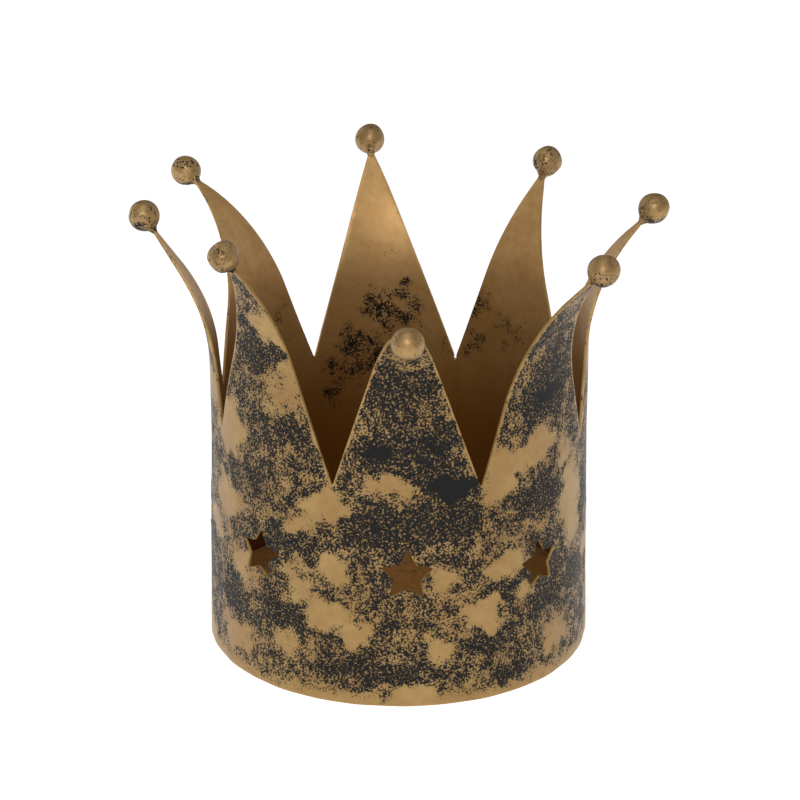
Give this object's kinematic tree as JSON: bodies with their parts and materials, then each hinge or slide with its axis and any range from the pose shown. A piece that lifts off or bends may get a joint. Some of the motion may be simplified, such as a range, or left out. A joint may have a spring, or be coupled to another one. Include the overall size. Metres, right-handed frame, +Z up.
{
  "type": "decorative crown holder",
  "caption": "Free-standing sheet-metal crown with pointed tines bent outwards, a ball welded on each tip, star openings in the band and a recessed floor plate.",
  "frame": {"origin": "centre of the band's lower rim, on the surface it stands on", "axes": "+Z up along the band's axis, -Y towards the front tine"},
  "size_m": [0.1549, 0.1602, 0.137],
  "materials": {
    "patina_gold": "matte antique gold paint dabbed with black",
    "ball_gold": "satin antique gold paint with black in the hollows"
  },
  "bodies": {
    "root": {"crown_band": "patina_gold", "seam_weld": "patina_gold", "base_plate": "patina_gold", "base_tacks": "patina_gold", "ball_1": "ball_gold", "ball_2": "ball_gold", "ball_3": "ball_gold", "ball_4": "ball_gold", "ball_5": "ball_gold", "ball_6": "ball_gold", "ball_7": "ball_gold", "ball_8": "ball_gold", "weld_1": "ball_gold", "weld_2": "ball_gold", "weld_3": "ball_gold", "weld_4": "ball_gold", "weld_5": "ball_gold", "weld_6": "ball_gold", "weld_7": "ball_gold", "weld_8": "ball_gold"}
  },
  "joints": []
}
